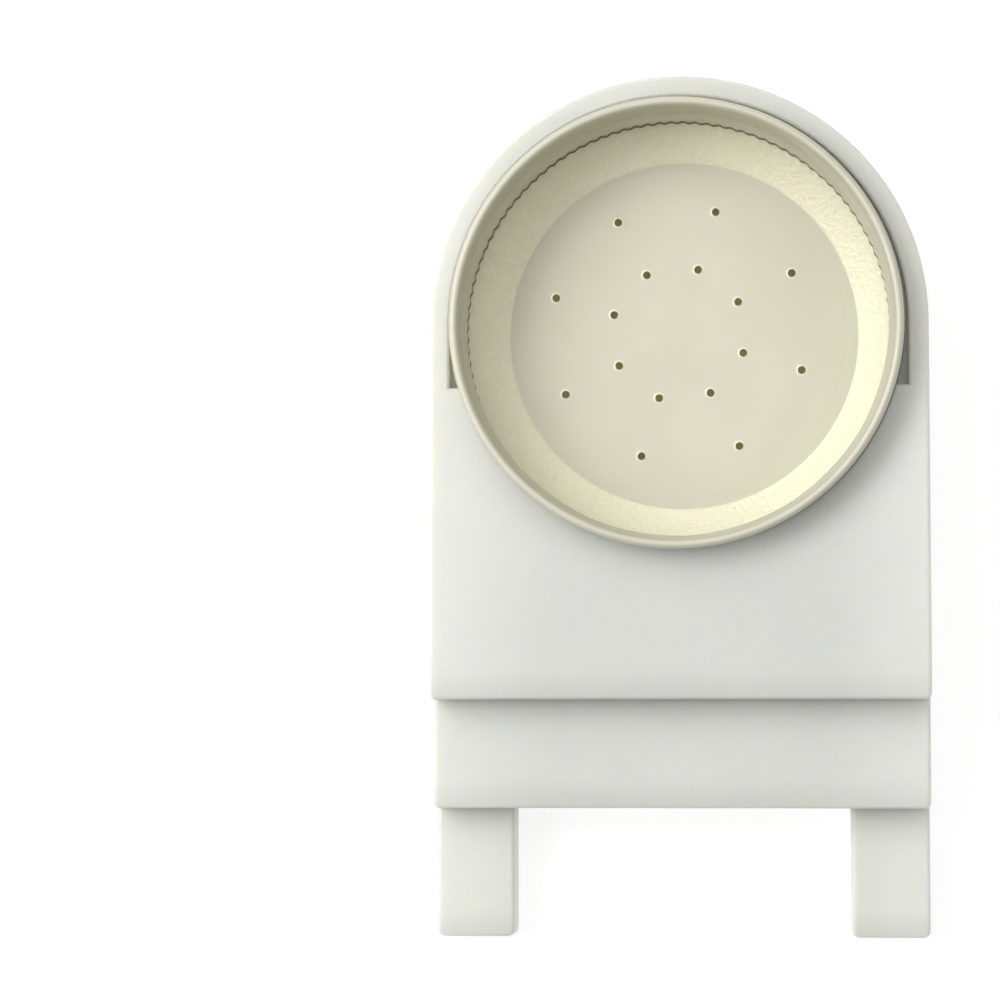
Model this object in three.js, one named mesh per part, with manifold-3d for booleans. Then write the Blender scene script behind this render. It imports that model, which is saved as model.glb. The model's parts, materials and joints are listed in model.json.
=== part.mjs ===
// Hive entrance feeder: a stepped plastic body that holds a jar's perforated screw lid.
// Millimetres, +Z up. +Y points away from the hive, so the two prongs point along -Y.
// The origin is on the axis of the lid's seat, at the level of the underside.

import * as THREE from 'three';
import { mergeVertices } from 'three/addons/utils/BufferGeometryUtils.js';
import Module from 'manifold-3d';

// Body, in plan
const BODY_RADIUS = 40.4; // half the width, and the radius of the round end
const WALL = 3.3; // side walls and round wall
const CHAMBER_FRONT_Y = -60.8;
const THROAT_FRONT_Y = -78.4;
const PRONG_TIP_Y = -99.5;
const PRONG_WIDTH = 12.8;
const RECESS_FRONT_Y = -10.4; // front edge of the recess behind and beside the lid
const PLAN_CORNER = 0.9; // plan corners of the chamber and throat
const PRONG_CORNER = 1.2;

// Body, in height
const CHAMBER_TOP = 24;
const THROAT_TOP = 16.5; // enters a 19 mm hive entrance
const PRONG_TOP = 9; // enters a 9.5 mm hive entrance
const ROOF = 2.6; // roofs and front walls
const PRONG_WALL = 2.2;
const MOUTH_TOP = 8.5; // the bees' way in, between the prongs
const CROWN_LENGTH = 4.9; // the tops of the chamber, throat and prongs bow down over this length
const CROWN_RADIUS = 14;
const FRONT_CORNER = 0.8; // corner between the bowed top and the front face
const EDGE_RADIUS = 0.7; // the other top edges

// Lid seat
const SEAT_RADIUS = 36.8;
const SEAT_WALL = 2;
const LEDGE_TOP = 13.8;
const LEDGE_THICKNESS = 2;
const LEDGE_INNER_RADIUS = 31;
const RECESS_FLOOR = 20; // height of the recess's own floor, above the ledge
const RECESS_CHAMFER = 0.6;

// Floor plate
const FLOOR_THICKNESS = 2;
const REBATE = 1.7; // depth of the wall left outside the floor plate
const GAP = 0.3; // clearance between pieces that touch

// Lid, for a 70 mm jar neck, lying with its open side up
const LID_BOTTOM = 12.7;
const LID_HEIGHT = 17;
const LID_PLAY = [-0.18, -0.55]; // where the lid lies in its loose seat, off the seat's axis
const LID_SHEET = 0.5;
const RIM_RADIUS = 36.5;
const CURL_RADIUS = 0.7; // section of the rolled rim
const PANEL_RADIUS = 28.5;
const CHANNEL_RISE = 1.4; // the gasket channel stands this far above the panel
const CHANNEL_INNER_RADIUS = 29.7;
const CHANNEL_OUTER_RADIUS = 34.3;
const KNURL_RADIUS = 35;
const KNURL_TOP = 6.3;
const SKIRT_BOTTOM = 7;
const THREAD_PITCH = 6.35;
const THREAD_TURNS = 1.1;
const THREAD_START = 7.8; // height of its lower end
const THREAD_START_ANGLE = THREE.MathUtils.degToRad(29);
const THREAD_BEAD = 0.8; // radius of the rolled bead
const THREAD_INSET = 0.25;
const VENT_RADIUS = 0.62;
const VENTS_PER_RING = 8;
const VENT_RING_RADII = [11.1, 21.1];
const VENT_FIRST_ANGLE = THREE.MathUtils.degToRad(28);

// Gasket
const GASKET_HIGH = 1.3; // height at its outer edge
const GASKET_LOW = 0.45; // height at its inner edge

// Finishes
const WHITE_PLASTIC = { color: 0xe4e5df, roughness: 0.42 };
const LACQUERED_TINPLATE = { color: 0xdedac4, roughness: 0.3, metalness: 0.6 };
const PLASTISOL = { color: 0xe8e3bf, roughness: 0.5 };

// How finely curves are cut
const ARCH_SEGMENTS = 18;
const CROWN_SEGMENTS = 4;
const EDGE_SEGMENTS = 2;
const LID_SEGMENTS = 72;
const VENT_SIDES = 10;
const BEAD_SIDES = 8;
const CURL_STEPS = 9; // a point every 30 degrees, so one is at the very top
const THREAD_STEPS = 60;

const CLEAR = 5; // how far a cutter reaches past what it cuts
const MERGE_DISTANCE = 1e-4;

const wasm = await Module();
wasm.setup();

// A closed geometry as a solid. Triangles that have shrunk to a line on a lathe's axis are dropped.
function toSolid(geometry) {
  geometry.deleteAttribute('normal');
  geometry.deleteAttribute('uv');
  const merged = mergeVertices(geometry, MERGE_DISTANCE);
  const corners = merged.index.array;
  const kept = [];
  for (let i = 0; i < corners.length; i += 3) {
    const [a, b, c] = [corners[i], corners[i + 1], corners[i + 2]];
    if (a !== b && b !== c && c !== a) kept.push(a, b, c);
  }
  return new wasm.Manifold(new wasm.Mesh({
    numProp: 3,
    vertProperties: new Float32Array(merged.attributes.position.array),
    triVerts: new Uint32Array(kept),
  }));
}

function toMesh(solid, name, finish) {
  const { vertProperties, triVerts } = solid.getMesh();
  const geometry = new THREE.BufferGeometry();
  geometry.setAttribute('position', new THREE.BufferAttribute(vertProperties, 3));
  geometry.setIndex(new THREE.BufferAttribute(triVerts, 1));
  geometry.computeVertexNormals();
  const mesh = new THREE.Mesh(geometry, new THREE.MeshStandardMaterial(finish));
  mesh.name = name;
  return mesh;
}

// An outline in the XY plane, raised from one height to another.
function prism(outline, bottom, top, curveSegments = ARCH_SEGMENTS) {
  const geometry = new THREE.ExtrudeGeometry(outline, {
    depth: top - bottom,
    bevelEnabled: false,
    curveSegments,
  });
  return toSolid(geometry.translate(0, 0, bottom));
}

function box(x0, x1, y0, y1, z0, z1) {
  const geometry = new THREE.BoxGeometry(x1 - x0, y1 - y0, z1 - z0);
  return toSolid(geometry.translate((x0 + x1) / 2, (y0 + y1) / 2, (z0 + z1) / 2));
}

// A disc about the seat's axis, or about a point in plan.
function disc(radius, bottom, top, segments = 2 * LID_SEGMENTS, x = 0, y = 0) {
  const geometry = new THREE.CylinderGeometry(radius, radius, top - bottom, segments);
  geometry.rotateX(Math.PI / 2);
  return toSolid(geometry.translate(x, y, (bottom + top) / 2));
}

// A profile of [radius, height] points turned about the seat's axis.
function turned(profile) {
  const points = profile.map(([radius, height]) => new THREE.Vector2(radius, height));
  const geometry = new THREE.LatheGeometry(points, LID_SEGMENTS);
  return toSolid(geometry.rotateX(Math.PI / 2));
}

// The round-ended plan of the body, moved in by inset, with its straight end at frontY.
function roundEnded(inset, frontY, corner = 0) {
  const r = BODY_RADIUS - inset;
  const outline = new THREE.Shape();
  outline.moveTo(-r, 0);
  if (corner > 0) {
    outline.lineTo(-r, frontY + corner);
    outline.absarc(-r + corner, frontY + corner, corner, Math.PI, 1.5 * Math.PI, false);
    outline.absarc(r - corner, frontY + corner, corner, 1.5 * Math.PI, 2 * Math.PI, false);
  } else {
    outline.lineTo(-r, frontY);
    outline.lineTo(r, frontY);
  }
  outline.lineTo(r, 0);
  outline.absarc(0, 0, r, 0, Math.PI, false);
  return outline;
}

function roundedRectangle(x0, x1, y0, y1, corner) {
  const outline = new THREE.Shape();
  outline.moveTo(x0, y1 - corner);
  outline.absarc(x0 + corner, y0 + corner, corner, Math.PI, 1.5 * Math.PI, false);
  outline.absarc(x1 - corner, y0 + corner, corner, 1.5 * Math.PI, 2 * Math.PI, false);
  outline.absarc(x1 - corner, y1 - corner, corner, 0, Math.PI / 2, false);
  outline.absarc(x0 + corner, y1 - corner, corner, Math.PI / 2, Math.PI, false);
  return outline;
}

// The side view of a block: its front face, the corner, the bowed part and the flat of its top.
function sideOutline(frontY, rearY, top) {
  const sweep = Math.asin((CROWN_LENGTH - FRONT_CORNER) / CROWN_RADIUS);
  const bowedEnd = top - CROWN_RADIUS * (1 - Math.cos(sweep));
  const corner = bowedEnd - FRONT_CORNER * Math.tan(sweep);
  const upright = Math.PI / 2;
  const outline = new THREE.Shape();
  outline.moveTo(frontY, 0);
  outline.lineTo(frontY, corner - FRONT_CORNER);
  outline.quadraticCurveTo(frontY, corner, frontY + FRONT_CORNER, bowedEnd);
  outline.absarc(
    frontY + CROWN_LENGTH,
    top - CROWN_RADIUS,
    CROWN_RADIUS,
    upright + sweep,
    upright,
    true,
  );
  outline.lineTo(rearY, top);
  outline.lineTo(rearY, 0);
  return outline;
}

// The side view carried across the whole width.
function sideProfile(frontY, rearY, top) {
  const reach = BODY_RADIUS + CLEAR;
  const geometry = new THREE.ExtrudeGeometry(sideOutline(frontY, rearY, top), {
    depth: 2 * reach,
    bevelEnabled: false,
    curveSegments: CROWN_SEGMENTS,
  });
  const across = new THREE.Matrix4().makeBasis(
    new THREE.Vector3(0, 1, 0),
    new THREE.Vector3(0, 0, 1),
    new THREE.Vector3(1, 0, 0),
  );
  return toSolid(geometry.applyMatrix4(across).translate(-reach, 0, 0));
}

// A block with rounded top edges, its top bowed down along its front.
function block(outline, frontY, rearY, top) {
  const geometry = new THREE.ExtrudeGeometry(outline, {
    depth: top,
    bevelThickness: EDGE_RADIUS,
    bevelSize: EDGE_RADIUS,
    bevelOffset: -EDGE_RADIUS,
    bevelSegments: EDGE_SEGMENTS,
    curveSegments: ARCH_SEGMENTS,
  });
  const raised = toSolid(geometry.translate(0, 0, -EDGE_RADIUS));
  return raised.intersect(sideProfile(frontY, rearY, top));
}

const sides = [-1, 1];

// Left and right copies of a box given by its distances from the middle.
function boxPair(inner, outer, y0, y1, z0, z1) {
  const pair = sides.map((side) => {
    const [x0, x1] = [side * inner, side * outer].sort((a, b) => a - b);
    return box(x0, x1, y0, y1, z0, z1);
  });
  return pair[0].add(pair[1]);
}

// The plan of one prong, reaching back into the throat that it grows from.
function prongSpan(side) {
  return side < 0
    ? [-BODY_RADIUS, -BODY_RADIUS + PRONG_WIDTH]
    : [BODY_RADIUS - PRONG_WIDTH, BODY_RADIUS];
}

function prong(side) {
  const [x0, x1] = prongSpan(side);
  const rearY = THROAT_FRONT_Y + CLEAR;
  const outline = roundedRectangle(x0, x1, PRONG_TIP_Y, rearY, PRONG_CORNER);
  return block(outline, PRONG_TIP_Y, rearY, PRONG_TOP);
}

function prongHollow(side) {
  const [x0, x1] = prongSpan(side);
  return box(
    x0 + PRONG_WALL,
    x1 - PRONG_WALL,
    PRONG_TIP_Y + PRONG_WALL,
    THROAT_FRONT_Y - PRONG_WALL,
    -CLEAR,
    PRONG_TOP - PRONG_WALL,
  );
}

function outerBody() {
  const chamber = block(
    roundEnded(0, CHAMBER_FRONT_Y, PLAN_CORNER),
    CHAMBER_FRONT_Y,
    BODY_RADIUS + CLEAR,
    CHAMBER_TOP,
  );
  const throatRear = CHAMBER_FRONT_Y + CLEAR;
  const throat = block(
    roundedRectangle(-BODY_RADIUS, BODY_RADIUS, THROAT_FRONT_Y, throatRear, PLAN_CORNER),
    THROAT_FRONT_Y,
    throatRear - PLAN_CORNER,
    THROAT_TOP,
  );
  return chamber.add(throat).add(prong(-1)).add(prong(1));
}

// Everything open from below: chamber, throat, mouth between the prongs, floor rebate, prongs.
function underside() {
  const innerHalf = BODY_RADIUS - WALL;
  const chamber = prism(roundEnded(WALL, CHAMBER_FRONT_Y + ROOF), -CLEAR, CHAMBER_TOP - ROOF);
  const throat = box(
    -innerHalf,
    innerHalf,
    THROAT_FRONT_Y + ROOF,
    CHAMBER_FRONT_Y + ROOF + CLEAR,
    -CLEAR,
    THROAT_TOP - ROOF,
  );
  const mouthHalf = BODY_RADIUS - PRONG_WIDTH;
  const mouth = box(
    -mouthHalf,
    mouthHalf,
    THROAT_FRONT_Y - CLEAR,
    THROAT_FRONT_Y + ROOF + CLEAR,
    -CLEAR,
    MOUTH_TOP,
  );
  const rebate = prism(
    roundEnded(REBATE, THROAT_FRONT_Y + REBATE),
    -CLEAR,
    FLOOR_THICKNESS + GAP,
  );
  return [chamber, throat, mouth, rebate, prongHollow(-1), prongHollow(1)];
}

// The wall round the front of the lid, the ends and floor of the recess, and the ledge that the
// lid's edge lies on.
function seat() {
  const wallOuter = SEAT_RADIUS + SEAT_WALL;
  const bottom = LEDGE_TOP - LEDGE_THICKNESS;
  const roofMiddle = CHAMBER_TOP - ROOF / 2;
  const innerHalf = BODY_RADIUS - WALL;
  const front = box(
    -innerHalf - GAP,
    innerHalf + GAP,
    -wallOuter - CLEAR,
    RECESS_FRONT_Y,
    bottom,
    roofMiddle,
  );
  const recessEnd = boxPair(
    innerHalf - WALL,
    innerHalf + GAP,
    RECESS_FRONT_Y - SEAT_WALL,
    RECESS_FRONT_Y,
    bottom,
    roofMiddle,
  );
  const recessPlan = roundEnded(WALL - GAP, RECESS_FRONT_Y - SEAT_WALL);
  return disc(wallOuter, bottom, roofMiddle)
    .intersect(front)
    .add(recessEnd)
    .add(prism(recessPlan, bottom, RECESS_FLOOR))
    .subtract(disc(SEAT_RADIUS, LEDGE_TOP, CHAMBER_TOP))
    .subtract(disc(LEDGE_INNER_RADIUS, -CLEAR, CHAMBER_TOP));
}

// The opening in the top plate: the recess with its chamfered edge, and the round seat in front.
function topOpening() {
  const recess = roundEnded(WALL, RECESS_FRONT_Y);
  const chamfer = new THREE.ExtrudeGeometry(recess, {
    depth: CLEAR,
    bevelThickness: RECESS_CHAMFER,
    bevelSize: RECESS_CHAMFER,
    bevelSegments: 1,
    curveSegments: ARCH_SEGMENTS,
  });
  return prism(recess, RECESS_FLOOR, CHAMBER_TOP + CLEAR)
    .add(toSolid(chamfer.translate(0, 0, CHAMBER_TOP)))
    .add(disc(SEAT_RADIUS, LEDGE_TOP, CHAMBER_TOP + CLEAR));
}

function feederBody() {
  const hollow = underside().reduce((body, cutter) => body.subtract(cutter), outerBody());
  return hollow.add(seat()).subtract(topOpening());
}

// The floor lies in the rebate, with a tongue that reaches through the mouth.
function floorPlate() {
  const frontY = THROAT_FRONT_Y + REBATE + GAP;
  const tongueHalf = BODY_RADIUS - PRONG_WIDTH - GAP;
  const plate = prism(roundEnded(REBATE + GAP, frontY), 0, FLOOR_THICKNESS);
  const tongue = box(-tongueHalf, tongueHalf, THROAT_FRONT_Y, frontY + CLEAR, 0, FLOOR_THICKNESS);
  return plate.add(tongue);
}

// The rolled rim's section, from its lowest point round the outside and over to the skirt's inside.
function curl() {
  const points = [];
  for (let i = 0; i <= CURL_STEPS; i += 1) {
    const angle = THREE.MathUtils.lerp(-Math.PI / 2, Math.PI, i / CURL_STEPS);
    points.push([
      RIM_RADIUS - CURL_RADIUS + CURL_RADIUS * Math.cos(angle),
      LID_HEIGHT - CURL_RADIUS + CURL_RADIUS * Math.sin(angle),
    ]);
  }
  return points;
}

// A right-handed helix about the lid's axis.
class Helix extends THREE.Curve {
  constructor(radius) {
    super();
    this.radius = radius;
  }

  getPoint(t, target = new THREE.Vector3()) {
    const angle = THREAD_START_ANGLE + 2 * Math.PI * THREAD_TURNS * t;
    const height = THREAD_START + THREAD_PITCH * THREAD_TURNS * t;
    return target.set(this.radius * Math.cos(angle), this.radius * Math.sin(angle), height);
  }
}

function threadBead(skirtInner) {
  const section = new THREE.Shape();
  section.absarc(0, 0, THREAD_BEAD, 0, 2 * Math.PI, false);
  const geometry = new THREE.ExtrudeGeometry(section, {
    steps: THREAD_STEPS,
    curveSegments: BEAD_SIDES / 2,
    extrudePath: new Helix(skirtInner - THREAD_INSET),
  });
  return toSolid(geometry);
}

function vents() {
  const holes = [];
  for (const ringRadius of VENT_RING_RADII) {
    for (let i = 0; i < VENTS_PER_RING; i += 1) {
      const angle = VENT_FIRST_ANGLE + (2 * Math.PI * i) / VENTS_PER_RING;
      const x = ringRadius * Math.cos(angle);
      const y = ringRadius * Math.sin(angle);
      holes.push(disc(VENT_RADIUS, -CLEAR, CLEAR, VENT_SIDES, x, y));
    }
  }
  return holes.reduce((all, hole) => all.add(hole));
}

// Heights in the lid and gasket profiles start at the lid's lowest face.
function lidShell() {
  const skirtInner = RIM_RADIUS - 2 * CURL_RADIUS;
  const t = LID_SHEET;
  const outside = [
    [0, 0],
    [PANEL_RADIUS, 0],
    [CHANNEL_INNER_RADIUS, CHANNEL_RISE],
    [CHANNEL_OUTER_RADIUS, CHANNEL_RISE],
    [KNURL_RADIUS, CHANNEL_RISE + t],
    [KNURL_RADIUS, KNURL_TOP],
    [skirtInner + t, SKIRT_BOTTOM],
    [skirtInner + t, LID_HEIGHT - 2 * CURL_RADIUS],
  ];
  const inside = [
    [skirtInner, SKIRT_BOTTOM],
    [KNURL_RADIUS - t, KNURL_TOP],
    [KNURL_RADIUS - t, CHANNEL_RISE + 2 * t],
    [CHANNEL_OUTER_RADIUS - t / 2, CHANNEL_RISE + t],
    [CHANNEL_INNER_RADIUS - t / 2, CHANNEL_RISE + t],
    [PANEL_RADIUS - t / 2, t],
    [0, t],
  ];
  const shell = turned([...outside, ...curl(), ...inside]);
  return shell.add(threadBead(skirtInner)).subtract(vents());
}

function lidGasket() {
  const bottom = CHANNEL_RISE + LID_SHEET + GAP;
  const inner = CHANNEL_INNER_RADIUS;
  const outer = CHANNEL_OUTER_RADIUS - GAP;
  return turned([
    [inner, bottom],
    [outer - GAP, bottom],
    [outer, bottom + GAP],
    [outer, bottom + GASKET_HIGH],
    [inner, bottom + GASKET_LOW],
    [inner, bottom],
  ]);
}

const feeder = new THREE.Group();
feeder.add(toMesh(feederBody(), 'feeder_body', WHITE_PLASTIC));
feeder.add(toMesh(floorPlate(), 'floor_plate', WHITE_PLASTIC));

const lid = new THREE.Group();
lid.position.set(...LID_PLAY, LID_BOTTOM);
lid.add(toMesh(lidShell(), 'lid_shell', LACQUERED_TINPLATE));
lid.add(toMesh(lidGasket(), 'lid_gasket', PLASTISOL));
feeder.add(lid);

export default feeder;
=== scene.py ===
import json
import math

import bmesh
import bpy
import numpy as np
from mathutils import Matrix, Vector, noise
from mathutils.geometry import delaunay_2d_cdt


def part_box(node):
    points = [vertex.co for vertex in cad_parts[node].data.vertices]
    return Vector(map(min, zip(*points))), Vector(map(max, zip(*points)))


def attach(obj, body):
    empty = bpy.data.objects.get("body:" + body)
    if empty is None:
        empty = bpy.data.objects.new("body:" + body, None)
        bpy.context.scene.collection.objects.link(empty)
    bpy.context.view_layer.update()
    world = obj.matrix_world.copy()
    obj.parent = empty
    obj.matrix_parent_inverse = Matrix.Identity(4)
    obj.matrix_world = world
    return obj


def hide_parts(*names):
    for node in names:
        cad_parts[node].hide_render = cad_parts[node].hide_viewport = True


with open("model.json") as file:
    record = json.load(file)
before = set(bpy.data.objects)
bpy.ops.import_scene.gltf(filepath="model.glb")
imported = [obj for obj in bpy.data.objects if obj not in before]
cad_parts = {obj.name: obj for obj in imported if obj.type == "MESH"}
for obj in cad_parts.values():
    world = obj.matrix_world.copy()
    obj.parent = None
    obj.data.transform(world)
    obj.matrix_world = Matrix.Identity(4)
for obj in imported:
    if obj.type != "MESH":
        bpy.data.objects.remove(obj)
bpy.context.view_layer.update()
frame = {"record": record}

MM = 0.001

# ---------------------------------------------------------------- sizes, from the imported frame

body_low, body_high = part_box("feeder_body")
floor_low, floor_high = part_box("floor_plate")
lid_low, lid_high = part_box("lid_shell")
mount = {m["name"]: Vector(m["pos_m"]) for m in frame["record"]["mounts"]}

HALF_WIDTH = body_high.x
CHAMBER_TOP = body_high.z
CHAMBER_FRONT = mount["chamber_face"].y
THROAT_FRONT = mount["throat_face"].y
THROAT_TOP = mount["throat_top"].z
PRONG_TIP = body_low.y
PRONG_TOP = mount["left_prong_top"].z
PRONG_WIDTH = 2 * (HALF_WIDTH - mount["right_prong_top"].x)
LID_CENTRE = (lid_low + lid_high) / 2
LID_BOTTOM = lid_low.z
LID_HEIGHT = lid_high.z - lid_low.z
RIM_RADIUS = (lid_high.x - lid_low.x) / 2

# ---------------------------------------------------------------- sizes of the body's details

WALL = 3.3 * MM
ROOF = 2.6 * MM
PRONG_WALL = 2.2 * MM
MOUTH_TOP = 8.5 * MM
RECESS_FRONT = -10.4 * MM
RECESS_FLOOR = 20 * MM
RECESS_CHAMFER = 0.35 * MM
CROWN_LENGTH = 4.9 * MM  # the tops bow down over this length to their front edges
CROWN_RADIUS = 12.8 * MM
CROWN_STEPS = 7  # facets along the bowed part
FRONT_CORNER = 0.4 * MM  # depth of the rounding on a top's front edge
EDGE_RADIUS = 0.7 * MM
EDGE_LOOPS = 6
PLAN_CORNER = 0.9 * MM
PRONG_CORNER = 1.2 * MM
SEAT_RADIUS = 36.6 * MM
SEAT_WALL = 2 * MM
LEDGE_TOP = 13.8 * MM
LEDGE_THICKNESS = 2 * MM
LEDGE_INNER_RADIUS = 32.6 * MM
REBATE = 1.7 * MM
GAP = 0.3 * MM
SOFT_EDGE = 0.22 * MM  # the small radius on every other moulded edge

# ---------------------------------------------------------------- sizes of the lid's details

SHEET = 0.28 * MM
PATH_STEP = 0.5 * MM  # greatest spacing of the mesh rings on the lid's sheet
PANEL_FLAT = 26.6 * MM  # the panel's edge bends down from here
PANEL_RADIUS = 27.1 * MM
PANEL_LIFT = 0.03 * MM  # the panel stands this far above the sheet round it
PANEL_CROWN = 0.12 * MM  # and its middle this much higher still
CROWN_FLAT = 20 * MM  # the middle is level out to here
CHANNEL_RISE = 1.4 * MM
CHANNEL_FOOT = 30.2 * MM  # the sheet rises from here
CHANNEL_INNER = 32.2 * MM  # to here
KNURL_RADIUS = 34.64 * MM  # of the middle of the sheet
KNURL_TOP = 6.3 * MM
KNURLS = 110
KNURL_DEPTH = 0.13 * MM
KNURL_START = CHANNEL_RISE + 0.5 * MM  # height at which the flutes start
KNURL_END = KNURL_TOP + 0.15 * MM  # and end
KNURL_START_LENGTH = 0.8 * MM  # they reach their full depth over this length
KNURL_END_LENGTH = 0.4 * MM  # and lose it over this one
PAINTED_SHADE_TOP = 5.0 * MM  # painted shade darkens the flutes up to here
CURL_RADIUS = 0.6 * MM  # of the middle of the rolled sheet
CURL_END = -0.7 * math.pi  # the direction in which the curl's tucked end lies
CURL_STEPS = 13
THREAD_PITCH = 6.35 * MM
THREAD_TURNS = 1.1
THREAD_START = 7.8 * MM
THREAD_START_ANGLE = math.radians(29)
THREAD_DEPTH = 0.95 * MM
THREAD_HALF_WIDTH = 1.25 * MM
THREAD_FADE = 0.35  # radians over which each end of the thread dies away
VENT_RADIUS = 0.64 * MM
VENT_RINGS = (11.1 * MM, 21.1 * MM)
VENTS_PER_RING = 8
VENT_FIRST_ANGLE = math.radians(28)
VENT_SIDES = 24
VENT_RINGS_OUT = tuple(r * MM for r in (0.64, 0.76, 0.88, 1.0, 1.25, 1.65))  # mesh rings at a vent
VENT_KEEP_OUT = 3.2 * VENT_RADIUS  # the panel's own mesh points keep this far from a vent's middle
PANEL_RING_GAP = 1.2 * MM
PANEL_POINT_GAP = 1.6 * MM
PANEL_MIDDLE = 2 * MM  # the panel's mesh rings stop near this radius
PANEL_FEWEST = 12  # points in a panel ring
PANEL_MANY = 100  # a ring with more points than this is followed by one with half as many
BURR_HEIGHT = 0.08 * MM
BURR_FALL = 0.25 * MM / 1.6  # distance over which the burr's height falls by a factor of e
BARE_HIGHLIGHT_EDGE = 0.35 * MM  # width of the ring round each vent that is bare metal, painted lighter as a highlight
COLUMNS = 5 * KNURLS  # mesh columns round the lid, five to a knurl

# ---------------------------------------------------------------- sizes of the sealing ring

SEAL_INNER = 28.6 * MM
SEAL_TOP = 3.45 * MM
SEAL_SHIFT = Vector((0.85 * MM, -0.3 * MM))  # the poured ring's inner edge lies off the lid's axis
SEAL_GRAIN = 0.06 * MM
SEAL_EDGE = 0.14 * MM  # thickness the ring takes on right behind its inner edge
SEAL_EDGE_WIDTH = 0.08  # share of the ring's width over which it takes that on
SEAL_OVERLAP = 0.02 * MM  # how far the ring reaches into the sheet, so that no gap shows
SEAL_WALL_OVERLAP = 0.05 * MM  # and into the wall
SEAL_FLUTES = 0.2  # share of the ring's width that follows the wall's flutes
SEAL_GRAIN_FROM = 0.125  # share of the ring's width over which its grain comes in
SEAL_STEPS = (0, 0.01, 0.03, *np.linspace(0.06, 1, 30))  # mesh rings across the ring's width

CLEAR = 5 * MM  # how far a cutter reaches past what it cuts
NEGLIGIBLE = 0.001 * MM
SAME_POINT = NEGLIGIBLE / 100
WELD_DISTANCE = 2 * NEGLIGIBLE
ARC_STEP = math.radians(2)
SMALL_ARC_STEP = 4 * ARC_STEP  # on arcs with a radius under CLEAR
FILLET_STEP = 0.25 * MM


# ---------------------------------------------------------------- mesh helpers

def new_object(name, mesh):
    obj = bpy.data.objects.new(name, mesh)
    bpy.context.scene.collection.objects.link(obj)
    return obj


def object_from(name, points, faces):
    mesh = bpy.data.meshes.new(name)
    mesh.from_pydata([tuple(p) for p in points], [], faces)
    mesh.validate()
    return new_object(name, mesh)


def arc(x, y, radius, start, end):
    """Points on an arc about (x, y), both ends included."""
    step = SMALL_ARC_STEP if radius < CLEAR else ARC_STEP
    steps = max(2, math.ceil(abs(end - start) / step))
    angles = np.linspace(start, end, steps + 1)
    return [(x + radius * math.cos(a), y + radius * math.sin(a)) for a in angles]


def round_ended(inset, front, corner=0.0):
    """The body's plan moved in by inset, anticlockwise, with a straight front and a round rear."""
    r = HALF_WIDTH - inset
    if corner <= 0:
        front_end = [(-r, front), (r, front)]
    else:
        front_end = arc(-r + corner, front + corner, corner, math.pi, 1.5 * math.pi)
        front_end += arc(r - corner, front + corner, corner, -0.5 * math.pi, 0)
    return front_end + arc(0, 0, r, 0, math.pi)


def rounded_rectangle(x0, x1, y0, y1, corner):
    quarter = 0.5 * math.pi
    points = []
    for x, y, turn in ((x0, y0, 2), (x1, y0, 3), (x1, y1, 0), (x0, y1, 1)):
        centre_x = x + corner if x == x0 else x - corner
        centre_y = y + corner if y == y0 else y - corner
        points += arc(centre_x, centre_y, corner, turn * quarter, (turn + 1) * quarter)
    return points


def fillet(before, here, after, radius):
    """Points on an arc that rounds the corner at here, between the points before and after."""
    b, h, a = (np.array(p) for p in (before, here, after))
    u = (b - h) / np.linalg.norm(b - h)
    v = (a - h) / np.linalg.norm(a - h)
    half = math.acos(max(-1.0, min(1.0, float(u @ v)))) / 2
    reach = radius / math.tan(half)
    start, end = h + u * reach, h + v * reach
    centre = h + (u + v) / np.linalg.norm(u + v) * radius / math.sin(half)
    count = max(3, math.ceil(radius * (math.pi - 2 * half) / FILLET_STEP))
    first = math.atan2(*(start - centre)[::-1])
    turn = (math.atan2(*(end - centre)[::-1]) - first + math.pi) % (2 * math.pi) - math.pi
    angles = [first + turn * k / count for k in range(count + 1)]
    return [tuple(centre + radius * np.array([math.cos(a), math.sin(a)])) for a in angles]


def fillet_path(corners):
    """A path of points through corners of (across, up, fillet radius)."""
    path = [corners[0][:2]]
    for before, here, after in zip(corners, corners[1:], corners[2:]):
        path += fillet(before[:2], here[:2], after[:2], here[2])
    path.append(corners[-1][:2])
    return path


def band(a, b, count):
    """Faces between two closed rings of count points, which start at points a and b."""
    faces = []
    for i in range(count):
        j = (i + 1) % count
        faces.append((a + i, a + j, b + j, b + i))
    return faces


def loft(name, loops):
    """A closed solid through stacked loops of (outline, height), capped at both ends."""
    count = len(loops[0][0])
    points = [(x, y, z) for outline, z in loops for x, y in outline]
    faces = [list(range(count))[::-1]]
    for k in range(len(loops) - 1):
        faces += band(k * count, (k + 1) * count, count)
    last = (len(loops) - 1) * count
    faces.append(list(range(last, last + count)))
    return object_from(name, points, faces)


def prism(outline, bottom, top):
    return loft("prism", [(outline, bottom), (outline, top)])


def box(x0, x1, y0, y1, z0, z1):
    return prism([(x0, y0), (x1, y0), (x1, y1), (x0, y1)], z0, z1)


def disc(radius, bottom, top):
    return prism(arc(0, 0, radius, 0, 2 * math.pi)[:-1], bottom, top)


def combine(target, other, operation):
    """Joins other to target, or cuts target with it, and removes other."""
    modifier = target.modifiers.new(operation, "BOOLEAN")
    modifier.object = other
    modifier.operation = operation
    modifier.solver = "MANIFOLD"
    bake_modifiers(target)
    bpy.data.objects.remove(other)
    return target


def bake_modifiers(obj):
    graph = bpy.context.evaluated_depsgraph_get()
    mesh = bpy.data.meshes.new_from_object(obj.evaluated_get(graph), depsgraph=graph)
    obj.modifiers.clear()
    obj.data = mesh


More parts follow.
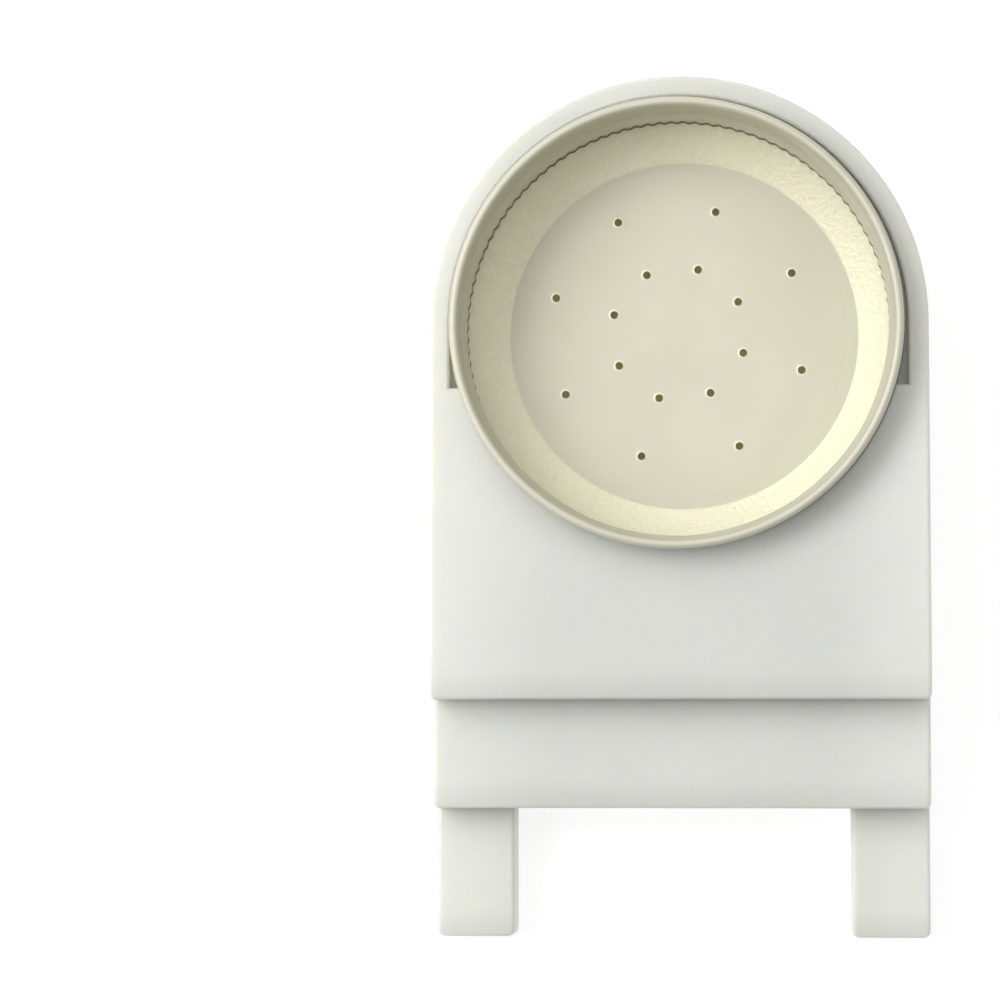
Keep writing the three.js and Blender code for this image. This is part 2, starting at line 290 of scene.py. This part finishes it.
def soften(obj, angle=math.radians(35)):
    """Rounds the sharp edges a little and shades the result smoothly."""
    bevel = obj.modifiers.new("soft_edges", "BEVEL")
    bevel.width = SOFT_EDGE
    bevel.segments = 2
    bevel.limit_method = "ANGLE"
    bevel.angle_limit = angle
    bevel.harden_normals = True
    bake_modifiers(obj)
    for polygon in obj.data.polygons:
        polygon.use_smooth = True
    obj.data.set_sharp_from_angle(angle=angle)
    obj.data.materials.clear()
    normals = obj.modifiers.new("weighted_normals", "WEIGHTED_NORMAL")
    normals.keep_sharp = True


# ---------------------------------------------------------------- feeder body

def bow_top(solid, front, top):
    """Bows a block's top down towards its front, and its rounded edges with it."""
    start = front + CROWN_LENGTH
    bm = bmesh.new()
    bm.from_mesh(solid.data)
    for y in np.linspace(start, front, CROWN_STEPS, endpoint=False):
        parts = bm.verts[:] + bm.edges[:] + bm.faces[:]
        bmesh.ops.bisect_plane(bm, geom=parts, dist=NEGLIGIBLE, plane_co=(0, y, 0), plane_no=(0, 1, 0))
    for vertex in bm.verts:
        if vertex.co.z > top - EDGE_RADIUS - NEGLIGIBLE:
            ahead = max(0.0, start - vertex.co.y)
            vertex.co.z -= CROWN_RADIUS - math.sqrt(CROWN_RADIUS ** 2 - ahead ** 2)
    bmesh.ops.recalc_face_normals(bm, faces=bm.faces)
    bm.to_mesh(solid.data)
    bm.free()


def block(outline_at, front, top):
    """A block whose top edge is rounded by EDGE_RADIUS and whose top bows down along its front.

    outline_at(inset, front_inset) gives the plan moved in by that much."""
    loops = [(outline_at(0, 0), body_low.z)]
    for angle in np.linspace(0, 0.5 * math.pi, EDGE_LOOPS):
        inset = EDGE_RADIUS * (1 - math.cos(angle))
        outline = outline_at(inset, inset * FRONT_CORNER / EDGE_RADIUS)
        loops.append((outline, top - EDGE_RADIUS * (1 - math.sin(angle))))
    solid = loft("block", loops)
    bow_top(solid, front, top)
    return solid


def chamber_block():
    def outline(inset, front_inset):
        return round_ended(inset, CHAMBER_FRONT + front_inset, PLAN_CORNER - inset)
    return block(outline, CHAMBER_FRONT, CHAMBER_TOP)


def front_block(x0, x1, front, rear, corner, top):
    def outline(inset, front_inset):
        return rounded_rectangle(x0 + inset, x1 - inset, front + front_inset, rear - inset, corner - inset)
    return block(outline, front, top)


def prong_spans():
    inner = HALF_WIDTH - PRONG_WIDTH
    return [(-HALF_WIDTH, -inner), (inner, HALF_WIDTH)]


def outer_body():
    body = chamber_block()
    throat = front_block(-HALF_WIDTH, HALF_WIDTH, THROAT_FRONT, CHAMBER_FRONT + CLEAR, PLAN_CORNER,
                         THROAT_TOP)
    combine(body, throat, "UNION")
    for x0, x1 in prong_spans():
        prong = front_block(x0, x1, PRONG_TIP, THROAT_FRONT + CLEAR, PRONG_CORNER, PRONG_TOP)
        combine(body, prong, "UNION")
    return body


def underside_cutters():
    """What is open from below: chamber, throat, mouth, floor rebate and the hollow prongs."""
    inner = HALF_WIDTH - WALL
    mouth = HALF_WIDTH - PRONG_WIDTH
    yield prism(round_ended(WALL, CHAMBER_FRONT + ROOF), -CLEAR, CHAMBER_TOP - ROOF)
    yield box(-inner, inner, THROAT_FRONT + ROOF, CHAMBER_FRONT + ROOF + CLEAR, -CLEAR,
              THROAT_TOP - ROOF)
    yield box(-mouth, mouth, THROAT_FRONT - CLEAR, THROAT_FRONT + ROOF + CLEAR, -CLEAR, MOUTH_TOP)
    yield prism(round_ended(REBATE, THROAT_FRONT + REBATE), -CLEAR, floor_high.z + GAP)
    for x0, x1 in prong_spans():
        yield box(x0 + PRONG_WALL, x1 - PRONG_WALL, PRONG_TIP + PRONG_WALL,
                  THROAT_FRONT - PRONG_WALL, -CLEAR, PRONG_TOP - PRONG_WALL)


def seat():
    """The wall round the front of the lid, the ends of the recess, and the ledge under the lid."""
    outer = SEAT_RADIUS + SEAT_WALL
    bottom = LEDGE_TOP - LEDGE_THICKNESS
    top = CHAMBER_TOP - ROOF / 2
    inner = HALF_WIDTH - WALL
    solid = disc(outer, bottom, top)
    front = box(-inner - GAP, inner + GAP, -outer - CLEAR, RECESS_FRONT, bottom - CLEAR, top + CLEAR)
    combine(solid, front, "INTERSECT")
    for x0, x1 in ((-inner - GAP, -inner + WALL), (inner - WALL, inner + GAP)):
        combine(solid, box(x0, x1, RECESS_FRONT - SEAT_WALL, RECESS_FRONT, bottom, top), "UNION")
    recess_floor = prism(round_ended(WALL - GAP, RECESS_FRONT - SEAT_WALL), bottom, RECESS_FLOOR)
    combine(solid, recess_floor, "UNION")
    combine(solid, disc(SEAT_RADIUS, LEDGE_TOP, CHAMBER_TOP), "DIFFERENCE")
    return combine(solid, disc(LEDGE_INNER_RADIUS, -CLEAR, CHAMBER_TOP), "DIFFERENCE")


def top_opening_cutters():
    """The recess behind and beside the lid, with its chamfered edge, and the round seat."""
    chamfer_bottom = CHAMBER_TOP - RECESS_CHAMFER
    recess = round_ended(WALL, RECESS_FRONT)
    yield prism(recess, RECESS_FLOOR, CHAMBER_TOP + CLEAR)
    flared = round_ended(WALL - 2 * RECESS_CHAMFER, RECESS_FRONT - 2 * RECESS_CHAMFER)
    yield loft("chamfer", [(recess, chamfer_bottom), (flared, CHAMBER_TOP + RECESS_CHAMFER)])
    yield disc(SEAT_RADIUS, LEDGE_TOP, CHAMBER_TOP + CLEAR)


def build_body():
    body = outer_body()
    for cutter in underside_cutters():
        combine(body, cutter, "DIFFERENCE")
    combine(body, seat(), "UNION")
    for cutter in top_opening_cutters():
        combine(body, cutter, "DIFFERENCE")
    body.name = "feeder_moulding"
    soften(body)
    return body


def build_floor():
    front = THROAT_FRONT + REBATE + GAP
    tongue = HALF_WIDTH - PRONG_WIDTH - GAP
    plate = prism(round_ended(REBATE + GAP, front), floor_low.z, floor_high.z)
    combine(plate, box(-tongue, tongue, THROAT_FRONT, front + CLEAR, floor_low.z, floor_high.z),
            "UNION")
    plate.name = "chamber_floor"
    soften(plate)
    return plate


# ---------------------------------------------------------------- lid

def spread_path(path, step):
    """The path with points added so that none are further apart than step."""
    out = [path[0]]
    for (r0, z0), (r1, z1) in zip(path, path[1:]):
        count = max(1, math.ceil(math.hypot(r1 - r0, z1 - z0) / step))
        out += [(r0 + (r1 - r0) * k / count, z0 + (z1 - z0) * k / count) for k in range(1, count + 1)]
    return out


def lid_path():
    """The middle of the sheet, from the panel's flat out to the curl's tucked end.

    Each corner ends with the radius of its bend."""
    wall = RIM_RADIUS - SHEET / 2 - 2 * CURL_RADIUS
    middle = SHEET / 2
    curl_height = LID_HEIGHT - SHEET / 2 - CURL_RADIUS
    corners = [
        (PANEL_FLAT, middle + PANEL_LIFT, 0),
        (PANEL_RADIUS, middle + PANEL_LIFT, 0.6 * MM),
        (PANEL_RADIUS + 0.5 * MM, middle, 0.6 * MM),
        (CHANNEL_FOOT, middle, 0.5 * MM),
        (CHANNEL_INNER, CHANNEL_RISE + middle, 0.5 * MM),
        (KNURL_RADIUS, CHANNEL_RISE + middle, 0.8 * MM),
        (KNURL_RADIUS, KNURL_TOP, 0.3 * MM),
        (wall, KNURL_TOP + (wall - KNURL_RADIUS), 0.5 * MM),
        (wall, curl_height, 0),
    ]
    path = spread_path(fillet_path(corners), PATH_STEP)
    for angle in np.linspace(math.pi, CURL_END, CURL_STEPS + 1)[1:]:
        path.append((wall + CURL_RADIUS + CURL_RADIUS * math.cos(angle),
                     curl_height + CURL_RADIUS * math.sin(angle)))
    return path


def smooth_step(x):
    x = np.clip(x, 0, 1)
    return x * x * (3 - 2 * x)


def knurl_shift(angle, height):
    """How far the knurled band's flutes move the sheet outwards."""
    rise = smooth_step((height - KNURL_START) / KNURL_START_LENGTH)
    fall = smooth_step((KNURL_END - height) / KNURL_END_LENGTH)
    return KNURL_DEPTH * np.cos(KNURLS * angle) * rise * fall


def thread_shift(angle, height):
    """How far the rolled thread moves the sheet inwards."""
    total = np.zeros_like(angle)
    full_turn = 2 * math.pi
    base = (angle - THREAD_START_ANGLE) % full_turn
    for lap in range(2):
        along = base + lap * full_turn
        left = THREAD_TURNS * full_turn - along
        ends = smooth_step(along / THREAD_FADE) * smooth_step(left / THREAD_FADE)
        off = (height - THREAD_START - THREAD_PITCH * along / full_turn) / THREAD_HALF_WIDTH
        total += ends * np.where(np.abs(off) < 1, np.cos(0.5 * math.pi * off) ** 2, 0)
    return -THREAD_DEPTH * total


def column_angles():
    return np.linspace(0, 2 * math.pi, COLUMNS, endpoint=False)


def sheet_rings(path, side):
    """Rings of points for one face of the sheet: side is 1 for the outside and -1 for the inside."""
    path = np.array(path)
    along = np.gradient(path, axis=0)
    along /= np.linalg.norm(along, axis=1)[:, None]
    outward = np.stack([along[:, 1], -along[:, 0]], axis=1)
    angle = column_angles()
    rings = []
    for (r, z), (nr, nz) in zip(path, outward):
        radius = r + side * nr * SHEET / 2 + knurl_shift(angle, z) + thread_shift(angle, z)
        height = np.full_like(angle, z + side * nz * SHEET / 2)
        rings.append(np.stack([radius * np.cos(angle), radius * np.sin(angle), height], axis=1))
    return rings


def vent_centres():
    centres = []
    for ring in VENT_RINGS:
        for i in range(VENTS_PER_RING):
            angle = VENT_FIRST_ANGLE + 2 * math.pi * i / VENTS_PER_RING
            centres.append((ring * math.cos(angle), ring * math.sin(angle)))
    return centres


def circle(x, y, radius, count):
    angles = np.linspace(0, 2 * math.pi, count, endpoint=False)
    return [(x + radius * math.cos(a), y + radius * math.sin(a)) for a in angles]


def ring_edges(first, count):
    return [(first + i, first + (i + 1) % count) for i in range(count)]


def from_vent(x, y, vents):
    """Distance from a point to the middle of the nearest vent."""
    return min(math.dist((x, y), v) for v in vents)


def face_middle(face, flat):
    return sum(flat[i][0] for i in face) / len(face), sum(flat[i][1] for i in face) / len(face)


def panel_rings(vents):
    """Mesh points that fill the panel between its edge and the vents."""
    points = []
    radius, count = PANEL_FLAT, COLUMNS
    while radius > PANEL_MIDDLE:
        radius -= PANEL_RING_GAP
        wanted = count / 2 if count > PANEL_MANY else 2 * math.pi * radius / PANEL_POINT_GAP
        count = max(PANEL_FEWEST, round(wanted))
        points += [p for p in circle(0, 0, radius, count) if from_vent(*p, vents) > VENT_KEEP_OUT]
    return points


def panel_triangles(vents):
    """The flat panel in plan, without the vents: its points and its triangles."""
    points = circle(0, 0, PANEL_FLAT, COLUMNS)
    edges = ring_edges(0, COLUMNS)
    for x, y in vents:
        for radius in VENT_RINGS_OUT:
            edges += ring_edges(len(points), VENT_SIDES)
            points += circle(x, y, radius, VENT_SIDES)
    points += panel_rings(vents)
    flat, _, faces, *_ = delaunay_2d_cdt([Vector(p) for p in points], edges, [], 0, SAME_POINT)
    hole = VENT_RADIUS * math.cos(math.pi / VENT_SIDES) * 0.995  # just inside a vent's flat sides
    kept = [face for face in faces if from_vent(*face_middle(face, flat), vents) > hole]
    return [tuple(p) for p in flat], kept


def burr(x, y, vents):
    """The small lip that punching leaves round a vent."""
    off = max(0.0, from_vent(x, y, vents) - VENT_RADIUS)
    return BURR_HEIGHT * math.exp(-off / BURR_FALL)


def panel_crown(x, y):
    """How far the panel's middle stands above its edge."""
    outward = (math.hypot(x, y) - CROWN_FLAT) / (PANEL_FLAT - CROWN_FLAT)
    return PANEL_CROWN * (1 - smooth_step(outward))


def is_bare_highlight(face, flat, vents):
    """Whether a panel face lies in the ring that punching leaves bare at a vent, painted lighter as a
    highlight.
    """
    return from_vent(*face_middle(face, flat), vents) < VENT_RADIUS + BARE_HIGHLIGHT_EDGE


def is_painted_flute_shade(point):
    """Whether a point lies on the flutes' inside, where painted shade darkens them."""
    radius = math.hypot(point.x, point.y)
    return CHANNEL_INNER < radius < KNURL_RADIUS and CHANNEL_RISE + SHEET < point.z < PAINTED_SHADE_TOP


def add_panel(points, faces, flat, triangles, vents):
    """Adds both sides of the panel, and returns which faces lie in the bare, highlighted ring round a
    vent.
    """
    lift = [burr(x, y, vents) + panel_crown(x, y) for x, y in flat]
    bare_highlight = []
    for height, upward in ((PANEL_LIFT, False), (PANEL_LIFT + SHEET, True)):
        first = len(points)
        points += [(x, y, height + rise) for (x, y), rise in zip(flat, lift)]
        for triangle in triangles:
            if upward and is_bare_highlight(triangle, flat, vents):
                bare_highlight.append(len(faces))
            a, b, c = (first + i for i in triangle)
            faces.append((a, b, c) if upward else (c, b, a))
    return bare_highlight


def add_vent_walls(points, faces, flat, vents):
    """Joins the panel's two sides, which are the last points, round the inside of each vent."""
    top = len(points) - len(flat)
    bottom = top - len(flat)
    for vent in vents:
        near = [i for i, p in enumerate(flat) if abs(math.dist(p, vent) - VENT_RADIUS) < NEGLIGIBLE]
        near.sort(key=lambda i: math.atan2(flat[i][1] - vent[1], flat[i][0] - vent[0]))
        for i, j in zip(near, near[1:] + near[:1]):
            faces.append((bottom + i, bottom + j, top + j, top + i))


def build_lid():
    path = lid_path()
    rings = sheet_rings(path, 1) + sheet_rings(path, -1)[::-1]
    points = [tuple(p) for ring in rings for p in ring]
    faces = []
    for k in range(len(rings) - 1):
        faces += band(k * COLUMNS, (k + 1) * COLUMNS, COLUMNS)
    vents = vent_centres()
    flat, triangles = panel_triangles(vents)
    bare_highlight = add_panel(points, faces, flat, triangles, vents)
    add_vent_walls(points, faces, flat, vents)
    lid = object_from("lid_sheet", points, faces)
    # bare metal round the vents, painted lighter as a highlight
    for index in bare_highlight:
        lid.data.polygons[index].material_index = 1
    # painted shade on the flutes' inside gets its own dark material
    for polygon in lid.data.polygons:
        if is_painted_flute_shade(polygon.center):
            polygon.material_index = 2
    weld(lid)
    place_lid(lid)
    return lid


def weld(obj):
    """Joins points that coincide, turns every face outwards and shades the result smoothly."""
    bm = bmesh.new()
    bm.from_mesh(obj.data)
    bmesh.ops.remove_doubles(bm, verts=bm.verts, dist=WELD_DISTANCE)
    bmesh.ops.recalc_face_normals(bm, faces=bm.faces)
    bm.to_mesh(obj.data)
    bm.free()
    for polygon in obj.data.polygons:
        polygon.use_smooth = True
    obj.data.set_sharp_from_angle(angle=math.radians(50))


def place_lid(obj):
    """Moves a mesh from the lid's own axis and underside to where the lid sits in the part."""
    for vertex in obj.data.vertices:
        vertex.co += Vector((LID_CENTRE.x, LID_CENTRE.y, LID_BOTTOM))


def seal_height(u):
    """Height of the sealing compound, from its inner edge (u = 0) to the wall (u = 1)."""
    low = SHEET - SEAL_OVERLAP
    edge = SEAL_EDGE * np.sqrt(np.clip(u / SEAL_EDGE_WIDTH, 0, 1))
    slope = (SEAL_TOP - low - SEAL_EDGE) * (0.85 * u + 0.15 * u ** 2)
    return low + edge + slope


def seal_top(angle, inner, outer):
    """Points on the ring's top, from its inner edge out to the wall."""
    points = []
    for u in SEAL_STEPS:
        flute = KNURL_DEPTH * np.cos(KNURLS * angle) * smooth_step((u - 1 + SEAL_FLUTES) / SEAL_FLUTES)
        radius = inner + (outer - inner) * u + flute
        fade = min(1.0, u / SEAL_GRAIN_FROM)
        height = seal_height(u) + fade * SEAL_GRAIN * grain(angle, radius)
        points += list(zip(radius * np.cos(angle), radius * np.sin(angle), height))
    return points


def build_gasket():
    """The poured ring: a sloping top from a thin inner edge up to the knurled wall."""
    angle = column_angles()
    inner = SEAL_INNER + SEAL_SHIFT.x * np.cos(angle) + SEAL_SHIFT.y * np.sin(angle)
    outer = KNURL_RADIUS - SHEET / 2 + SEAL_WALL_OVERLAP
    points = seal_top(angle, inner, outer)
    underside = ((outer, CHANNEL_RISE), (CHANNEL_INNER, CHANNEL_RISE), (CHANNEL_FOOT, SHEET / 2))
    for radius, height in underside:
        radius = np.maximum(radius, inner)
        points += list(zip(radius * np.cos(angle), radius * np.sin(angle), np.full_like(angle, height)))
    rows = len(SEAL_STEPS) + len(underside)
    faces = []
    for k in range(rows):
        faces += band(k * COLUMNS, (k + 1) % rows * COLUMNS, COLUMNS)
    gasket = object_from("sealing_ring", points, faces)
    weld(gasket)
    place_lid(gasket)
    return gasket


def grain(angle, radius):
    """Orange peel on the compound, a little longer across the ring than along it."""
    along, across = 1 / (0.55 * MM), 1 / (1.1 * MM)
    return np.array([noise.noise(Vector((r * math.cos(a) * along, r * math.sin(a) * along, r * across)))
                     for a, r in zip(angle, radius)])


# ---------------------------------------------------------------- materials

# Each pair of colours is the darkest and the lightest that a material takes.
MILK_WHITE = ((0.72, 0.73, 0.69), (0.74, 0.75, 0.71))
# painted light: a lighter copy of the white plastic, used towards the side walls for the light that comes
# through them
MILK_PAINTED_GLOW = ((0.80, 0.81, 0.77), (0.82, 0.83, 0.79))
# painted shade: the dark olive at the foot of the knurled band
PAINTED_SHADE_OLIVE = ((0.10, 0.085, 0.03), (0.17, 0.145, 0.06))
LACQUER_BEIGE = ((0.66, 0.64, 0.51), (0.69, 0.67, 0.54))
PLASTISOL_CREAM = ((0.92, 0.89, 0.66), (0.96, 0.93, 0.72))
PAINTED_GLOW_FROM = 20 * MM  # painted light: the plastic is painted lighter from this far out to its side walls, for the light that comes through them


def material(name, **values):
    mat = bpy.data.materials.new(name)
    mat.use_nodes = True
    shader = mat.node_tree.nodes["Principled BSDF"]
    for socket, value in values.items():
        shader.inputs[socket.replace("_", " ")].default_value = value
    return mat


def node(mat, kind, **settings):
    made = mat.node_tree.nodes.new(kind)
    for key, value in settings.items():
        setattr(made, key, value)
    return made


def link(mat, source, target):
    mat.node_tree.links.new(source, target)


def noise_at(mat, scale, detail=3.0, roughness=0.5):
    """Noise in the part's own coordinates; scale is in features per metre."""
    coordinates = node(mat, "ShaderNodeTexCoord")
    texture = node(mat, "ShaderNodeTexNoise")
    texture.inputs["Scale"].default_value = scale
    texture.inputs["Detail"].default_value = detail
    texture.inputs["Roughness"].default_value = roughness
    link(mat, coordinates.outputs["Object"], texture.inputs["Vector"])
    return texture.outputs["Fac"]


def ramp(mat, source, colours, start=0.3, end=0.7):
    """Goes from the first colour to the second as the source goes from start to end."""
    made = node(mat, "ShaderNodeValToRGB")
    for element, position, colour in zip(made.color_ramp.elements, (start, end), colours):
        element.position = position
        element.color = (*colour, 1)
    link(mat, source, made.inputs["Fac"])
    return made.outputs["Color"]


def set_colour(mat, source):
    link(mat, source, mat.node_tree.nodes["Principled BSDF"].inputs["Base Color"])


def set_roughness(mat, source, low, high):
    limits = node(mat, "ShaderNodeMapRange")
    limits.inputs["To Min"].default_value = low
    limits.inputs["To Max"].default_value = high
    link(mat, source, limits.inputs["Value"])
    link(mat, limits.outputs["Result"], mat.node_tree.nodes["Principled BSDF"].inputs["Roughness"])


def add_bump(mat, sources):
    """Stacks bumps of (height source, strength, distance in metres)."""
    normal = None
    for source, strength, distance in sources:
        bump = node(mat, "ShaderNodeBump")
        bump.inputs["Strength"].default_value = strength
        bump.inputs["Distance"].default_value = distance
        link(mat, source, bump.inputs["Height"])
        if normal is not None:
            link(mat, normal, bump.inputs["Normal"])
        normal = bump.outputs["Normal"]
    link(mat, normal, mat.node_tree.nodes["Principled BSDF"].inputs["Normal"])


def painted_side_glow(mat):
    """Rises from 0 in the middle to 1 at the side walls: the mask for painted light that stands in for the
    light coming through them.
    """
    coordinates = node(mat, "ShaderNodeTexCoord")
    separate = node(mat, "ShaderNodeSeparateXYZ")
    distance = node(mat, "ShaderNodeMath", operation="ABSOLUTE")
    limits = node(mat, "ShaderNodeMapRange", interpolation_type="SMOOTHSTEP")
    limits.inputs["From Min"].default_value = PAINTED_GLOW_FROM
    limits.inputs["From Max"].default_value = HALF_WIDTH
    link(mat, coordinates.outputs["Object"], separate.inputs["Vector"])
    link(mat, separate.outputs["X"], distance.inputs[0])
    link(mat, distance.outputs["Value"], limits.inputs["Value"])
    return limits.outputs["Result"]


def mixed(mat, factor, a, b):
    mix = node(mat, "ShaderNodeMix", data_type="RGBA")
    link(mat, factor, mix.inputs["Factor"])
    link(mat, a, mix.inputs["A"])
    link(mat, b, mix.inputs["B"])
    return mix.outputs["Result"]


def plastic(name, **values):
    mat = material(name, IOR=1.5, Subsurface_Weight=1.0, Subsurface_Scale=2.0 * MM,
                   Subsurface_Radius=(1.0, 0.93, 0.5), **values)
    cloud = noise_at(mat, 45, 3)
    middle = ramp(mat, cloud, MILK_WHITE)
    sides = ramp(mat, cloud, MILK_PAINTED_GLOW)
    # painted light: the colour turns to the lighter copy towards the side walls
    set_colour(mat, mixed(mat, painted_side_glow(mat), middle, sides))
    set_roughness(mat, noise_at(mat, 260, 4), 0.34, 0.46)
    add_bump(mat, [(noise_at(mat, 120, 2), 0.15, 0.05 * MM), (noise_at(mat, 2500, 2), 0.12, 0.02 * MM)])
    return mat


def floor_plastic():
    """The same plastic, glowing faintly: painted light that stands in for what comes through the chamber's
    walls.
    """
    return plastic("floor_plastic", Emission_Color=(1.0, 0.9, 0.4, 1), Emission_Strength=0.07)


def painted_flute_shade():
    """Painted shade: a dark olive line at the foot of the knurled band, standing in for the shade that
    falls in its flutes.
    """
    mat = material("painted_flute_shade", IOR=1.5)
    cloud = noise_at(mat, 900, 3)
    set_colour(mat, ramp(mat, cloud, PAINTED_SHADE_OLIVE))
    set_roughness(mat, cloud, 0.35, 0.5)
    return mat


def lacquered_tinplate():
    mat = material("lacquered_tinplate", Metallic=0.2, IOR=1.5, Coat_Weight=0.1, Coat_Roughness=0.3)
    cloud = noise_at(mat, 60, 3)
    set_colour(mat, ramp(mat, cloud, LACQUER_BEIGE))
    set_roughness(mat, noise_at(mat, 700, 4), 0.42, 0.54)
    add_bump(mat, [(noise_at(mat, 900, 3), 0.1, 0.02 * MM)])
    return mat


def bare_tin_highlight():
    """The bare metal round each vent, its colour lightened as a painted highlight for the light the
    punched lip catches.
    """
    mat = material("bare_tin_highlight", Metallic=0.3, Base_Color=(0.78, 0.74, 0.62, 1))
    set_roughness(mat, noise_at(mat, 2000, 3), 0.4, 0.6)
    return mat


def plastisol():
    mat = material("plastisol", IOR=1.5, Subsurface_Weight=0.3, Subsurface_Scale=0.3 * MM,
                   Subsurface_Radius=(1.0, 0.8, 0.4))
    grain_fine = noise_at(mat, 1700, 3, 0.6)
    set_colour(mat, ramp(mat, grain_fine, PLASTISOL_CREAM, 0.35, 0.65))
    set_roughness(mat, grain_fine, 0.18, 0.32)
    add_bump(mat, [(noise_at(mat, 1400, 2), 0.8, 0.28 * MM), (grain_fine, 0.4, 0.1 * MM)])
    return mat


def dress(piece, mats, body, cad_node):
    for mat in mats:
        piece.data.materials.append(mat)
    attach(piece, body)
    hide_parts(cad_node)


# ---------------------------------------------------------------- stage

LIGHT_DISTANCE = 1.0
FLOOR_WIDTH = 4.0
FLOOR_GAP = 0.05 * MM  # between the floor and the part


def add_floor():
    half = FLOOR_WIDTH / 2
    corners = [(-half, -half, 0), (half, -half, 0), (half, half, 0), (-half, half, 0)]
    floor = object_from("studio_floor", corners, [(0, 1, 2, 3)])
    floor.location.z = body_low.z - FLOOR_GAP
    mat = material("studio_floor", Base_Color=(0.4, 0.4, 0.4, 1), Roughness=0.9,
                   Emission_Color=(1, 1, 1, 1), Emission_Strength=0.75)
    floor.data.materials.append(mat)


def add_area_light(name, azimuth, elevation, size, power):
    """A round soft light aimed at the part, from a direction in degrees."""
    data = bpy.data.lights.new(name, "AREA")
    data.shape = "DISK"
    data.size = size
    data.energy = power
    light = new_object(name, data)
    light.visible_camera = False
    around, up = math.radians(azimuth), math.radians(elevation)
    direction = Vector((math.cos(around) * math.cos(up), math.sin(around) * math.cos(up), math.sin(up)))
    light.location = direction * LIGHT_DISTANCE
    light.rotation_euler = (-direction).to_track_quat("-Z", "Y").to_euler()


def add_world(strength):
    world = bpy.data.worlds.new("studio")
    world.use_nodes = True
    background = world.node_tree.nodes["Background"]
    background.inputs["Color"].default_value = (1, 1, 1, 1)
    background.inputs["Strength"].default_value = strength
    bpy.context.scene.world = world


def add_camera():
    """Nearly overhead, a little towards the prongs, aimed left of the part as in the photograph."""
    data = bpy.data.cameras.new("camera")
    data.lens = 124.4
    data.sensor_width = 36
    data.clip_start = 0.01
    camera = new_object("camera", data)
    camera.location = (0.01861, -0.07336, 0.579)
    camera.rotation_euler = [math.radians(a) for a in (4.588, 4.876, 0.041)]
    bpy.context.scene.camera = camera


# ---------------------------------------------------------------- the scene

dress(build_body(), [plastic("white_plastic")], "feeder", "feeder_body")
dress(build_floor(), [floor_plastic()], "feeder", "floor_plate")
dress(build_lid(), [lacquered_tinplate(), bare_tin_highlight(), painted_flute_shade()], "lid", "lid_shell")
dress(build_gasket(), [plastisol()], "lid", "lid_gasket")

add_floor()
add_world(0.127)
add_area_light("overhead", azimuth=140, elevation=80, size=2.6, power=7.4)
add_area_light("back", azimuth=105, elevation=62, size=2.0, power=3.7)
add_area_light("key", azimuth=160, elevation=50, size=0.6, power=2.9)
add_area_light("key_back", azimuth=130, elevation=46, size=0.6, power=1.1)
add_area_light("key_front", azimuth=190, elevation=42, size=0.6, power=1.9)
add_area_light("fill", azimuth=5, elevation=38, size=0.3, power=0.5)
add_camera()
bpy.context.scene.view_settings.view_transform = "Standard"
